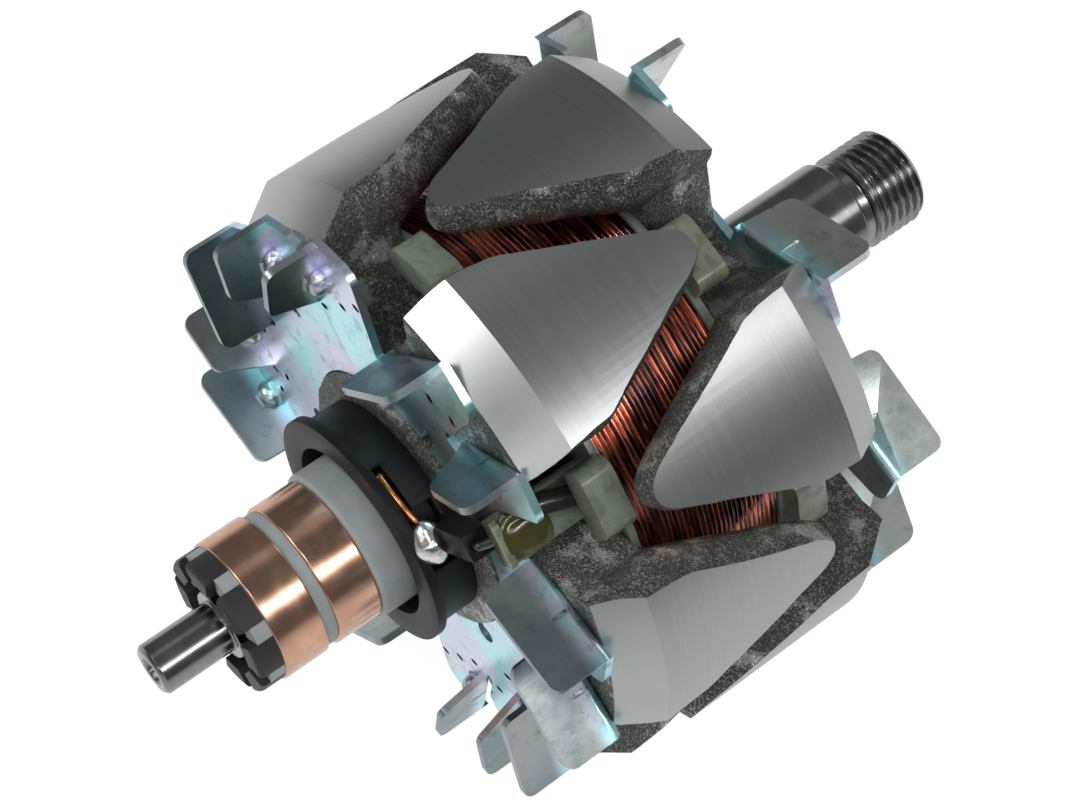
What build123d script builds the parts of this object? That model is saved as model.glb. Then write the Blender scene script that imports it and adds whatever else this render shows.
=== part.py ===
from math import atan2, cos, degrees, radians, sin
import os

from build123d import *

os.makedirs("parts", exist_ok=True)

# Rotor of a claw-pole vehicle generator. Its axis lies along Y, with the threaded drive end
# at +Y and the slip rings at -Y. Z is up, and a gap between two pole fingers faces down, so
# that the rotor rests on both of them. The origin is on the axis, at the middle of the seat
# for the drive-end bearing. All sizes are in millimetres and all angles in degrees.

# Shaft
rear_journal_r = 4.0
rear_journal_length = 11.5
ring_seat_r = 5.5
press_r = 9.0
drive_seat_r = 8.5
drive_seat_length = 26.0
relief_r = 7.0
relief_length = 2.2
thread_r = 7.95
thread_length = 9.8
shaft_chamfer = 1.0
centre_hole_r = 2.2
centre_hole_depth = 5.0

# Claw poles, forged and then turned on the outside
poles_to_seat = 43.0
pole_r = 49.3
forging_allowance = 0.55
pole_half_length = 24.8
pole_disc = 12.0
hub_to_guide = 2.9
pole_boss_r = 21.3
pole_boss_height = 2.4
pole_chamfer_width = 4.3
pole_chamfer_length = 6.2
finger_count = 6
finger_reach = 11.2
finger_base_width = 26.8
finger_taper_start = 11.4
finger_tip_width = 7.6
finger_tip_end_width = 5.2
finger_tip_run = 1.6
finger_nose_width = 3.4
finger_nose_drop = 1.4
finger_nose_length = 1.3
finger_root_thickness = 11.0
finger_tip_thickness = 6.0
shoulder_rounding = 4.6
tip_rounding = 2.5
nose_rounding = 1.4
star_arm_to_guide = 0.61
star_rounding = 2.8
valley_rounding = 4.5
rear_finger_angle = 15.0

# Core, bobbin and field coil between the poles
coil_depth = 10.3
bobbin_clearance = 0.1
bobbin_wall = 1.2
flange_beyond_coil = 0.3
ear_width = 10.6
ear_below_flange = 1.1
ear_thickness = 4.6
ear_length = 4.5
ear_rounding = 1.9
coil_to_fingers = 0.7
coil_layers = 5
coil_layer_depth = 0.7

# Field coil leads with their sleeves, over two guides in valleys of the rear pole
lead_angles = (45.0, 225.0)
guide_width = 7.6
guide_thickness = 1.9
guide_overhang = 2.6
guide_lip_height = 1.2
guide_lip_thickness = 1.0
sleeve_outer_r = 1.7
sleeve_to_ear = 0.1
sleeve_offset = 0.5
sleeve_length = 9.2
lead_r = 0.7
lead_bore_clearance = 0.05
lead_dip = 5.5
lead_bend_r = 2.0

# Fans, stamped from sheet, with blades bent away from the poles
fan_sheet = 1.2
fan_fit = 0.2
fan_disc_setback = 18.8
fan_blade_height = 8.4
fan_blade_rounding = 1.8
fan_blade_setback = 8.9
fan_bend_r = 1.4
long_blade = (17.2, 41.0, 0.4)
short_blade = (13.8, 31.0, 4.4)
front_blade = (18.2, 44.0, 1.2)
petal_trail_setback = 4.8
petal_trail_angle = 10.0
petal_root_angle = 24.0
petal_rounding = 3.0
bend_slit_width = 1.2
gusset_leg = 2.8
gusset_width = 2.2
relief_notch_r = 1.7
relief_notch_reach = 2.4
lead_slot_width = 8.2
lead_slot_clearance = 0.8
rear_long_blades = (88.0, 29.5, 5.5, -28.0, -94.0, -152.0, 163.0)
rear_short_blades = (64.0, -46.0, -63.5, -120.0, -172.0, 141.0, 121.0)
front_blades = (-180.0, 148.0, 117.0, 65.5, 24.5, -10.0, -45.0, -77.0, -112.0, -146.0)

# Slip rings and their moulding
ring_r = 11.35
ring_wall = 1.6
ring_length = 7.3
ring_gap = 1.9
ring_rib_step = 0.5
end_cap_length = 4.0
end_cap_r = 11.0
end_cap_recess_r = 7.6
end_cap_recess_depth = 2.2
end_cap_notches = 8
end_cap_notch_width = 2.6
end_cap_notch_depth = 1.5
moulding_r = 12.0
moulding_shoulder_length = 8.5
moulding_rounding = 0.8
conductor_r = 0.6
conductor_bar_r = 7.6
tail_bulge = 0.6
ring_touch_gap = 0.02

# Collar that carries the terminals
collar_r = 17.4
collar_rim_r = 18.55
collar_rim_length = 1.6
collar_cup_r = 14.0
collar_floor = 3.8
collar_length = 7.9
collar_clearance = 0.05
pocket_floor_r = 15.0
solder_to_arm = 0.22
pocket_span = 32.0
pocket_rim_gap = 0.2
pocket_base = 1.4
groove_span = 26.0
groove_length = 1.6
groove_wire_lift = 1.2
conductor_inset = 5.0
arm_width = 4.2
arm_height = 4.0
lead_height = 2.6
solder_half_length = 3.0
solder_half_width = 2.1

# Places along the axis
seat_start = -drive_seat_length / 2
seat_end = drive_seat_length / 2
thread_start = seat_end + relief_length
drive_end = thread_start + thread_length
poles_middle = -poles_to_seat
front_face = poles_middle + pole_half_length
rear_face = poles_middle - pole_half_length
front_boss_face = front_face + pole_boss_height
rear_boss_face = rear_face - pole_boss_height
collar_seat = rear_boss_face - collar_floor
collar_rim_face = rear_boss_face - collar_length
inner_ring_start = collar_seat - moulding_shoulder_length
inner_ring_end = inner_ring_start - ring_length
outer_ring_start = inner_ring_end - ring_gap
outer_ring_end = outer_ring_start - ring_length
end_cap_face = outer_ring_end - end_cap_length
ring_seat_end = end_cap_face + end_cap_recess_depth / 4
rear_end = ring_seat_end - rear_journal_length
pocket_start = collar_rim_face + collar_rim_length + pocket_rim_gap
pocket_end = rear_boss_face - pocket_base
lead_place = rear_boss_face - lead_height
solder_place = (pocket_start + pocket_end) / 2
groove_place = pocket_start + groove_length / 2
conductor_end_place = solder_place - conductor_r / 2

# Sizes that follow from the ones above
forging_r = pole_r + forging_allowance
root_r = pole_r - finger_root_thickness
tip_r = pole_r - finger_tip_thickness
nose_tip = finger_reach + finger_nose_length
coil_r = root_r - coil_to_fingers
bobbin_flange_r = coil_r + flange_beyond_coil
ear_inner_r = bobbin_flange_r - ear_below_flange
sleeve_r = ear_inner_r - sleeve_to_ear - sleeve_outer_r
guide_outer_r = sleeve_r - sleeve_outer_r
guide_inner_r = guide_outer_r - guide_thickness
pole_hub_r = guide_inner_r - hub_to_guide
half_valley = radians(180.0 / finger_count)
star_arm_width = 2 * (
    guide_inner_r * sin(half_valley) - guide_width / 2 * cos(half_valley) - star_arm_to_guide
)
lead_slot_inner_r = guide_inner_r - lead_slot_clearance
arm_end_r = pole_hub_r
fan_disc_r = pole_r - fan_disc_setback
fan_blade_mid_r = pole_r - fan_blade_setback
petal_trail_r = pole_r - petal_trail_setback
ring_inner_r = ring_r - ring_wall
core_half_length = pole_half_length - pole_disc
flange_outer = core_half_length - bobbin_clearance
flange_inner = flange_outer - bobbin_wall
coil_inner_r = coil_r - coil_depth
bobbin_bore_r = coil_inner_r - bobbin_wall
core_r = bobbin_bore_r - bobbin_clearance
sleeve_bore_r = lead_r + lead_bore_clearance
sleeve_start = poles_middle - flange_outer - sleeve_offset
solder_r = pocket_floor_r + solder_half_width * 0.8
pocket_outer_r = solder_r + solder_half_width + solder_to_arm
groove_wire_r = pocket_floor_r + groove_wire_lift


def along(place):
    """Plane across the axis at this place, with local x along X and local y along Z."""
    return Plane.XZ.offset(-place)


def polar(radius, angle):
    return (radius * cos(radians(angle)), radius * sin(radians(angle)))


def half_plane(angle):
    """Plane through the axis at this angle: local x outwards, local y along the axis."""
    outward = Vector(cos(radians(angle)), 0, sin(radians(angle)))
    return Plane((0, 0, 0), x_dir=outward, z_dir=outward.cross(Vector(0, 1, 0)))


def on_axis(radius, angle, place):
    """Point at this radius and angle, at this place along the axis."""
    return Vector(radius * cos(radians(angle)), place, radius * sin(radians(angle)))


def around(first_angle, count):
    return [first_angle + 360.0 / count * step for step in range(count)]


rear_fingers = around(rear_finger_angle, finger_count)
front_fingers = around(rear_finger_angle + 180.0 / finger_count, finger_count)
# Each station is a place along the finger, a width, an inner and an outer radius and a rounding
finger_stations = (
    (-pole_half_length, finger_base_width, root_r, forging_r, shoulder_rounding),
    (-finger_taper_start, finger_base_width, root_r, forging_r, shoulder_rounding),
    (finger_reach - finger_tip_run, finger_tip_width, tip_r, forging_r, tip_rounding),
    (finger_reach, finger_tip_end_width, tip_r, forging_r, tip_rounding),
    (nose_tip, finger_nose_width, tip_r + finger_nose_drop, pole_r - finger_nose_drop, nose_rounding),
)


def pole_star(first_angle):
    """End view of a pole's disc: a hub and one parallel-sided arm for each finger."""
    Circle(pole_hub_r)
    with PolarLocations(0, finger_count // 2, start_angle=first_angle):
        RectangleRounded(2 * forging_r, star_arm_width, star_rounding)


def finger_section(angle, width, inner_r, outer_r, rounding):
    """Cross-section of a forged finger at one place along the axis."""
    with Locations(Location(polar((inner_r + outer_r) / 2, angle), angle)):
        RectangleRounded(outer_r - inner_r, width, rounding)


def turned_outline(side):
    """Half outline that a pole is turned to; side is -1 on the rear pole, +1 on the front pole."""
    face = poles_middle + side * pole_half_length
    tip = poles_middle - side * nose_tip
    with BuildLine() as outline:
        Polyline(
            (press_r, tip),
            (pole_r, tip),
            (pole_r, face - side * pole_chamfer_length),
            (pole_r - pole_chamfer_width, face),
            (pole_boss_r, face),
            (pole_boss_r, face + side * pole_boss_height),
            (press_r, face + side * pole_boss_height),
            close=True,
        )
    make_face(outline.edges())


def hub_corners(sketch):
    """Corners of a pole's end view where its arms leave the hub."""
    return sketch.vertices().filter_by(lambda v: abs(Vector(v).length - pole_hub_r) < 0.01)


def bend_direction(mid_angle, tilt):
    """Direction of a blade's bend, from its inner end to its outer end."""
    return Vector(cos(radians(mid_angle - tilt)), 0, sin(radians(mid_angle - tilt)))


def fan_petal(mid_angle, blade):
    """Part of the sheet that carries one blade along its leading edge."""
    length, tilt, _ = blade
    half_bend = bend_direction(mid_angle, tilt) * (length / 2)
    middle = on_axis(fan_blade_mid_r, mid_angle, 0)
    inner = middle - half_bend
    outer = middle + half_bend
    inner_angle = degrees(atan2(inner.Z, inner.X))
    outer_angle = degrees(atan2(outer.Z, outer.X))
    with BuildLine() as outline:
        FilletPolyline(
            (inner.X, inner.Z),
            (outer.X, outer.Z),
            polar(petal_trail_r, outer_angle - petal_trail_angle),
            polar(fan_disc_r - 1, inner_angle - petal_root_angle),
            polar(fan_disc_r - 1, inner_angle - 1),
            radius=[0, 0, petal_rounding, 0, 0],
            close=True,
        )
    make_face(outline.edges())


def bend_slit(mid_angle, blade):
    """Slit in the sheet in front of a bend, where the blade was cut free."""
    middle = polar(fan_blade_mid_r, mid_angle)
    with Locations(Location(middle, mid_angle - blade[1])):
        Rectangle(blade[0] + 1, bend_slit_width, align=(Align.CENTER, Align.MIN), mode=Mode.SUBTRACT)


def blade_outline(blade):
    """Side view of a blade, with its inner corner taken back and its free corners rounded."""
    length, _, cut = blade
    height = fan_sheet + fan_blade_height
    with BuildLine() as outline:
        FilletPolyline(
            (-length / 2, 0),
            (-length / 2 + cut, height),
            (length / 2, height),
            (length / 2, 0),
            radius=[0, fan_blade_rounding, fan_blade_rounding, 0],
            close=True,
        )
    make_face(outline.edges())


def blade_plane(mid_angle, blade, face, side):
    """Plane of a blade's outer side: local x along the bend, local y away from the pole."""
    bend = bend_direction(mid_angle, blade[1])
    away = Vector(0, side, 0)
    return Plane(on_axis(fan_blade_mid_r, mid_angle, face), x_dir=bend, z_dir=bend.cross(away))


def bend_plane(mid_angle, blade, face, side):
    """Plane across a blade's bend: local x towards its petal, local y away from the pole."""
    away = Vector(0, side, 0)
    inward = bend_direction(mid_angle, blade[1]).cross(away) * -side
    return Plane(
        on_axis(fan_blade_mid_r, mid_angle, face), x_dir=inward, z_dir=inward.cross(away)
    )


def gusset_outline():
    """Rib stamped into the inner corner of a bend."""
    with BuildLine() as outline:
        Polyline(
            (fan_sheet / 2, fan_sheet / 2),
            (fan_sheet + gusset_leg, fan_sheet / 2),
            (fan_sheet + gusset_leg, fan_sheet),
            (fan_sheet, fan_sheet + gusset_leg),
            (fan_sheet / 2, fan_sheet + gusset_leg),
            close=True,
        )
    make_face(outline.edges())


def bend_corner():
    """Sharp corner that a bend's outer radius takes away."""
    Rectangle(fan_bend_r, fan_bend_r, align=Align.MIN)
    with Locations((fan_bend_r, fan_bend_r)):
        Circle(fan_bend_r, mode=Mode.SUBTRACT)


def lead_path(angle):
    """Centre line of a coil lead, from the coil under an ear and over a guide to its joint."""
    with BuildLine() as path:
        FilletPolyline(
            on_axis(sleeve_r, angle, poles_middle - flange_inner),
            on_axis(sleeve_r, angle, lead_place + lead_dip),
            on_axis(sleeve_r - lead_dip, angle, lead_place),
            on_axis(solder_r, angle, lead_place),
            radius=lead_bend_r,
        )
    return path.wires()[0]


def conductor_start(angle):
    """Angle at which a ring's conductor leaves the moulding."""
    return angle + pocket_span / 2 + groove_span - conductor_inset


def conductor_bars(ring_place, spread):
    """Side view of the bar from a ring's bore to its groove; spread widens it all round."""
    half = conductor_r + spread
    inner = conductor_bar_r - half
    with Locations((inner, ring_place - half)):
        Rectangle(2 * half, groove_place - ring_place + 2 * half, align=Align.MIN)
        Rectangle(ring_inner_r - ring_touch_gap + spread - inner, 2 * half, align=Align.MIN)
    with Locations((inner, groove_place - half)):
        Rectangle(groove_wire_r + spread - inner, 2 * half, align=Align.MIN)


def conductor_tail(angle):
    """Centre line of a conductor's wire, along its groove to the solder joint."""
    start_angle = conductor_start(angle)
    with BuildLine() as path:
        ThreePointArc(
            on_axis(groove_wire_r, start_angle, groove_place),
            on_axis(groove_wire_r + tail_bulge, (start_angle + angle) / 2, groove_place),
            on_axis(solder_r, angle, conductor_end_place),
        )
    return path.wires()[0]


def round_section(path, radius):
    """Round section at the start of a path."""
    with BuildSketch(Plane(path @ 0, z_dir=path % 0)) as section:
        Circle(radius)
    return section.sketch


lead_paths = [lead_path(angle) for angle in lead_angles]
ring_places = (outer_ring_start - ring_length / 2, inner_ring_start - ring_length / 2)
conductor_tails = [conductor_tail(angle) for angle in lead_angles]


with BuildPart() as rotor_shaft:
    with BuildSketch(Plane.XY):
        with BuildLine():
            Polyline(
                (0, drive_end),
                (thread_r - shaft_chamfer, drive_end),
                (thread_r, drive_end - shaft_chamfer),
                (thread_r, thread_start),
                (relief_r, thread_start),
                (relief_r, seat_end),
                (drive_seat_r - shaft_chamfer / 2, seat_end),
                (drive_seat_r, seat_end - shaft_chamfer / 2),
                (drive_seat_r, seat_start),
                (press_r, seat_start),
                (press_r, collar_seat),
                (ring_seat_r, collar_seat),
                (ring_seat_r, ring_seat_end),
                (rear_journal_r, ring_seat_end),
                (rear_journal_r, rear_end + shaft_chamfer / 2),
                (rear_journal_r - shaft_chamfer / 2, rear_end),
                (0, rear_end),
                close=True,
            )
        make_face()
    revolve(axis=Axis.Y)
    with BuildSketch(Plane.XY):
        with BuildLine():
            Polyline(
                (0, rear_end),
                (centre_hole_r, rear_end),
                (centre_hole_r * 0.55, rear_end + centre_hole_r * 0.8),
                (centre_hole_r * 0.55, rear_end + centre_hole_depth),
                (0, rear_end + centre_hole_depth),
                close=True,
            )
        make_face()
        with BuildLine():
            Polyline(
                (0, drive_end),
                (centre_hole_r * 1.6, drive_end),
                (centre_hole_r, drive_end - centre_hole_r),
                (centre_hole_r, drive_end - centre_hole_depth),
                (0, drive_end - centre_hole_depth),
                close=True,
            )
        make_face()
    revolve(axis=Axis.Y, mode=Mode.SUBTRACT)
rotor_shaft.part.label = "rotor_shaft"
export_step(rotor_shaft.part, "parts/rotor_shaft.step")


with BuildPart() as pole_core:
    with BuildSketch(along(poles_middle)):
        Circle(core_r)
        Circle(press_r, mode=Mode.SUBTRACT)
    extrude(amount=core_half_length, both=True)
pole_core.part.label = "pole_core"
export_step(pole_core.part, "parts/pole_core.step")


with BuildPart() as claw_pole_rear:
    with BuildSketch(along(rear_face + pole_disc)) as rear_star:
        pole_star(rear_finger_angle)
        fillet(hub_corners(rear_star), valley_rounding)
    extrude(amount=pole_disc)
    for angle in rear_fingers:
        for place, *section in finger_stations:
            with BuildSketch(along(poles_middle + place)):
                finger_section(angle, *section)
        loft(ruled=True)
    with BuildSketch(along(rear_face + 1)):
        Circle(pole_boss_r)
    extrude(amount=pole_boss_height + 1)
    with BuildSketch(Plane.XY):
        turned_outline(-1)
    revolve(axis=Axis.Y, mode=Mode.INTERSECT)
claw_pole_rear.part.label = "claw_pole_rear"
export_step(claw_pole_rear.part, "parts/claw_pole_rear.step")


with BuildPart() as claw_pole_front:
    with BuildSketch(along(front_face)) as front_star:
        pole_star(front_fingers[0])
        fillet(hub_corners(front_star), valley_rounding)
    extrude(amount=pole_disc)
    for angle in front_fingers:
        for place, *section in finger_stations:
            with BuildSketch(along(poles_middle - place)):
                finger_section(angle, *section)
        loft(ruled=True)
    with BuildSketch(along(front_boss_face)):
        Circle(pole_boss_r)
    extrude(amount=pole_boss_height + 1)
    with BuildSketch(Plane.XY):
        turned_outline(1)
    revolve(axis=Axis.Y, mode=Mode.INTERSECT)
claw_pole_front.part.label = "claw_pole_front"
export_step(claw_pole_front.part, "parts/claw_pole_front.step")


with BuildPart() as coil_bobbin:
    with BuildSketch(Plane.XY):
        with BuildLine():
            Polyline(
                (bobbin_bore_r, poles_middle - flange_outer),
                (bobbin_flange_r, poles_middle - flange_outer),
                (bobbin_flange_r, poles_middle - flange_inner),
                (coil_inner_r, poles_middle - flange_inner),
                (coil_inner_r, poles_middle + flange_inner),
                (bobbin_flange_r, poles_middle + flange_inner),
                (bobbin_flange_r, poles_middle + flange_outer),
                (bobbin_bore_r, poles_middle + flange_outer),
                close=True,
            )
        make_face()
    revolve(axis=Axis.Y)
    for side, angles in ((-1, front_fingers), (1, rear_fingers)):
        with BuildSketch(along(poles_middle + side * (flange_outer - bobbin_wall / 2))):
            for angle in angles:
                with Locations(Location(polar(ear_inner_r + ear_thickness / 2, angle), angle)):
                    RectangleRounded(ear_thickness, ear_width, ear_rounding)
        extrude(amount=-side * (bobbin_wall / 2 + ear_length))
    with BuildSketch(along(poles_middle - flange_inner)):
        for angle in lead_angles:
            with Locations(Location(polar(guide_inner_r + guide_thickness / 2, angle), angle)):
                RectangleRounded(guide_thickness, guide_width, guide_thickness * 0.3)
    extrude(amount=pole_half_length - flange_inner + fan_sheet + guide_overhang)
    with BuildSketch(along(rear_face - fan_sheet - guide_overhang)):
        for angle in lead_angles:
            lip_middle = guide_outer_r - guide_thickness / 2 + guide_lip_height / 2
            with Locations(Location(polar(lip_middle, angle), angle)):
                RectangleRounded(guide_thickness + guide_lip_height, guide_width, 1.2)
    extrude(amount=-guide_lip_thickness)
    for path in lead_paths:
        add(sweep(round_section(path, sleeve_bore_r), path, mode=Mode.PRIVATE), mode=Mode.SUBTRACT)
coil_bobbin.part.label = "coil_bobbin"
export_step(coil_bobbin.part, "parts/coil_bobbin.step")


with BuildPart() as field_coil:
    with BuildSketch(Plane.XY):
        layer_length = 2 * flange_inner / coil_layers
        layer_start = poles_middle - flange_inner
        outline = [(coil_inner_r, layer_start), (coil_r, layer_start)]
        for layer in range(coil_layers):
            next_start = layer_start + layer_length * (layer + 1)
            outline.append((coil_r, next_start - layer_length / 4))
            outline.append((coil_r - coil_layer_depth, next_start - layer_length / 8))
            outline.append((coil_r, next_start))
        outline.append((coil_inner_r, poles_middle + flange_inner))
        with BuildLine():
            Polyline(*outline, close=True)
        make_face()
    revolve(axis=Axis.Y)
field_coil.part.label = "field_coil"
export_step(field_coil.part, "parts/field_coil.step")


with BuildPart() as fan_rear:
    rear_blades = [(angle, long_blade) for angle in rear_long_blades]
    rear_blades += [(angle, short_blade) for angle in rear_short_blades]
    with BuildSketch(along(rear_face)):
        Circle(fan_disc_r)
        for angle, blade in rear_blades:
            fan_petal(angle, blade)
        for angle, blade in rear_blades:
            bend_slit(angle, blade)
        Circle(pole_boss_r + fan_fit, mode=Mode.SUBTRACT)
        with PolarLocations(pole_boss_r + relief_notch_reach, finger_count // 2, start_angle=-41):
            Circle(relief_notch_r, mode=Mode.SUBTRACT)
            with Locations((-relief_notch_reach, 0)):
                Rectangle(2 * relief_notch_reach, 2.0, mode=Mode.SUBTRACT)
        for angle in lead_angles:
            with Locations(Location(polar(lead_slot_inner_r, angle), angle)):
                Rectangle(
                    pole_r - lead_slot_inner_r, lead_slot_width,
                    align=(Align.MIN, Align.CENTER), mode=Mode.SUBTRACT,
                )
    extrude(amount=fan_sheet)
    for angle, blade in rear_blades:
        with BuildSketch(blade_plane(angle, blade, rear_face, -1)):
            blade_outline(blade)
        extrude(amount=fan_sheet)
        with BuildSketch(bend_plane(angle, blade, rear_face, -1)):
            gusset_outline()
        extrude(amount=gusset_width / 2, both=True)
    for angle, blade in rear_blades:
        with BuildSketch(bend_plane(angle, blade, rear_face, -1)):
            bend_corner()
        extrude(amount=blade[0] / 2, both=True, mode=Mode.SUBTRACT)
fan_rear.part.label = "fan_rear"
export_step(fan_rear.part, "parts/fan_rear.step")


with BuildPart() as fan_front:
    with BuildSketch(along(front_face)):
        Circle(fan_disc_r)
        for angle in front_blades:
            fan_petal(angle, front_blade)
        for angle in front_blades:
            bend_slit(angle, front_blade)
        Circle(pole_boss_r + fan_fit, mode=Mode.SUBTRACT)
        with PolarLocations(pole_boss_r + relief_notch_reach, finger_count // 2, start_angle=15):
            Circle(relief_notch_r, mode=Mode.SUBTRACT)
            with Locations((-relief_notch_reach, 0)):
                Rectangle(2 * relief_notch_reach, 2.0, mode=Mode.SUBTRACT)
    extrude(amount=-fan_sheet)
    for angle in front_blades:
        with BuildSketch(blade_plane(angle, front_blade, front_face, 1)):
            blade_outline(front_blade)
        extrude(amount=-fan_sheet)
        with BuildSketch(bend_plane(angle, front_blade, front_face, 1)):
            gusset_outline()
        extrude(amount=gusset_width / 2, both=True)
    for angle in front_blades:
        with BuildSketch(bend_plane(angle, front_blade, front_face, 1)):
            bend_corner()
        extrude(amount=front_blade[0] / 2, both=True, mode=Mode.SUBTRACT)
fan_front.part.label = "fan_front"
export_step(fan_front.part, "parts/fan_front.step")


with BuildPart() as slip_ring_moulding:
    with BuildSketch(Plane.XY) as half:
        with BuildLine():
            Polyline(
                (ring_seat_r, collar_seat),
                (moulding_r, collar_seat),
                (moulding_r, inner_ring_start),
                (ring_inner_r, inner_ring_start),
                (ring_inner_r, inner_ring_end),
                (ring_r - ring_rib_step, inner_ring_end),
                (ring_r - ring_rib_step, outer_ring_start),
                (ring_inner_r, outer_ring_start),
                (ring_inner_r, outer_ring_end),
                (end_cap_r, outer_ring_end),
                (end_cap_r, end_cap_face),
                (end_cap_recess_r, end_cap_face),
                (end_cap_recess_r, end_cap_face + end_cap_recess_depth),
                (ring_seat_r, end_cap_face + end_cap_recess_depth),
                close=True,
            )
        make_face()
        outer_corners = half.vertices().filter_by(
            lambda v: (v.X == moulding_r and v.Y == inner_ring_start)
            or (v.X == end_cap_r and v.Y == end_cap_face)
        )
        fillet(outer_corners, moulding_rounding)
    revolve(axis=Axis.Y)
    with BuildSketch(along(end_cap_face)):
        with PolarLocations((end_cap_r + end_cap_recess_r) / 2, end_cap_notches):
            Rectangle(end_cap_r, end_cap_notch_width)
    extrude(amount=-end_cap_notch_depth, mode=Mode.SUBTRACT)
    for angle, ring_place in zip(lead_angles, ring_places):
        with BuildSketch(half_plane(conductor_start(angle))):
            conductor_bars(ring_place, lead_bore_clearance)
        extrude(amount=conductor_r + lead_bore_clearance, both=True, mode=Mode.SUBTRACT)
slip_ring_moulding.part.label = "slip_ring_moulding"
export_step(slip_ring_moulding.part, "parts/slip_ring_moulding.step")


with BuildPart() as slip_ring_outer:
    with BuildSketch(along(outer_ring_start)):
        Circle(ring_r)
        Circle(ring_inner_r, mode=Mode.SUBTRACT)
    extrude(amount=ring_length)
slip_ring_outer.part.label = "slip_ring_outer"
export_step(slip_ring_outer.part, "parts/slip_ring_outer.step")


with BuildPart() as slip_ring_inner:
    with BuildSketch(along(inner_ring_start)):
        Circle(ring_r)
        Circle(ring_inner_r, mode=Mode.SUBTRACT)
    extrude(amount=ring_length)
slip_ring_inner.part.label = "slip_ring_inner"
export_step(slip_ring_inner.part, "parts/slip_ring_inner.step")


with BuildPart() as lead_collar:
    with BuildSketch(Plane.XY):
        with BuildLine():
            Polyline(
                (press_r + collar_clearance, rear_boss_face),
                (collar_r, rear_boss_face),
                (collar_r, collar_rim_face + collar_rim_length),
                (collar_rim_r, collar_rim_face + collar_rim_length),
                (collar_rim_r, collar_rim_face),
                (collar_cup_r, collar_rim_face),
                (collar_cup_r, collar_seat),
                (press_r + collar_clearance, collar_seat),
                close=True,
            )
        make_face()
    revolve(axis=Axis.Y)
    with BuildSketch(along(rear_boss_face)):
        for angle in lead_angles:
            with Locations(Location(polar(pocket_floor_r, angle), angle)):
                Rectangle(
                    arm_end_r - pocket_floor_r, arm_width, align=(Align.MIN, Align.CENTER)
                )
    extrude(amount=arm_height)
    for angle in lead_angles:
        with BuildSketch(half_plane(angle + pocket_span / 2)):
            with Locations((pocket_floor_r, pocket_start)):
                Rectangle(
                    pocket_outer_r - pocket_floor_r, pocket_end - pocket_start, align=Align.MIN
                )
        revolve(axis=Axis.Y, revolution_arc=pocket_span, mode=Mode.SUBTRACT)
        with BuildSketch(half_plane(angle + pocket_span / 2 + groove_span)):
            with Locations((pocket_floor_r, pocket_start)):
                Rectangle(pocket_outer_r - pocket_floor_r, groove_length, align=Align.MIN)
        revolve(axis=Axis.Y, revolution_arc=groove_span + 1, mode=Mode.SUBTRACT)
    for path in lead_paths:
        add(sweep(round_section(path, sleeve_bore_r), path, mode=Mode.PRIVATE), mode=Mode.SUBTRACT)
    for angle, ring_place in zip(lead_angles, ring_places):
        with BuildSketch(half_plane(conductor_start(angle))):
            conductor_bars(ring_place, lead_bore_clearance)
        extrude(amount=conductor_r + lead_bore_clearance, both=True, mode=Mode.SUBTRACT)
lead_collar.part.label = "lead_collar"
export_step(lead_collar.part, "parts/lead_collar.step")


with BuildPart() as ring_conductor_outer:
    with BuildSketch(half_plane(conductor_start(lead_angles[0]))):
        conductor_bars(ring_places[0], 0)
    extrude(amount=conductor_r, both=True)
    sweep(round_section(conductor_tails[0], conductor_r), conductor_tails[0])
ring_conductor_outer.part.label = "ring_conductor_outer"
export_step(ring_conductor_outer.part, "parts/ring_conductor_outer.step")


with BuildPart() as ring_conductor_inner:
    with BuildSketch(half_plane(conductor_start(lead_angles[1]))):
        conductor_bars(ring_places[1], 0)
    extrude(amount=conductor_r, both=True)
    sweep(round_section(conductor_tails[1], conductor_r), conductor_tails[1])
ring_conductor_inner.part.label = "ring_conductor_inner"
export_step(ring_conductor_inner.part, "parts/ring_conductor_inner.step")


with BuildPart() as lead_wire_a:
    sweep(round_section(lead_paths[0], lead_r), lead_paths[0])
lead_wire_a.part.label = "lead_wire_a"
export_step(lead_wire_a.part, "parts/lead_wire_a.step")


with BuildPart() as lead_wire_b:
    sweep(round_section(lead_paths[1], lead_r), lead_paths[1])
lead_wire_b.part.label = "lead_wire_b"
export_step(lead_wire_b.part, "parts/lead_wire_b.step")


with BuildPart() as lead_sleeve_a:
    with BuildSketch(along(sleeve_start)):
        with Locations(polar(sleeve_r, lead_angles[0])):
            Circle(sleeve_outer_r)
            Circle(sleeve_bore_r, mode=Mode.SUBTRACT)
    extrude(amount=sleeve_length)
lead_sleeve_a.part.label = "lead_sleeve_a"
export_step(lead_sleeve_a.part, "parts/lead_sleeve_a.step")


with BuildPart() as lead_sleeve_b:
    with BuildSketch(along(sleeve_start)):
        with Locations(polar(sleeve_r, lead_angles[1])):
            Circle(sleeve_outer_r)
            Circle(sleeve_bore_r, mode=Mode.SUBTRACT)
    extrude(amount=sleeve_length)
lead_sleeve_b.part.label = "lead_sleeve_b"
export_step(lead_sleeve_b.part, "parts/lead_sleeve_b.step")


def solder_axes(angle):
    """Plane of a solder joint: local x round the collar, local z along the rotor's axis."""
    tangent = Vector(-sin(radians(angle)), 0, cos(radians(angle)))
    return Plane(on_axis(solder_r, angle, solder_place), x_dir=tangent, z_dir=(0, 1, 0))


def end_edges(blob):
    """Edges round both flat ends of a blob, seen along the rotor's axis."""
    faces = blob.faces().sort_by(Axis.Y)
    return faces[0].edges() + faces[-1].edges()


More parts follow.
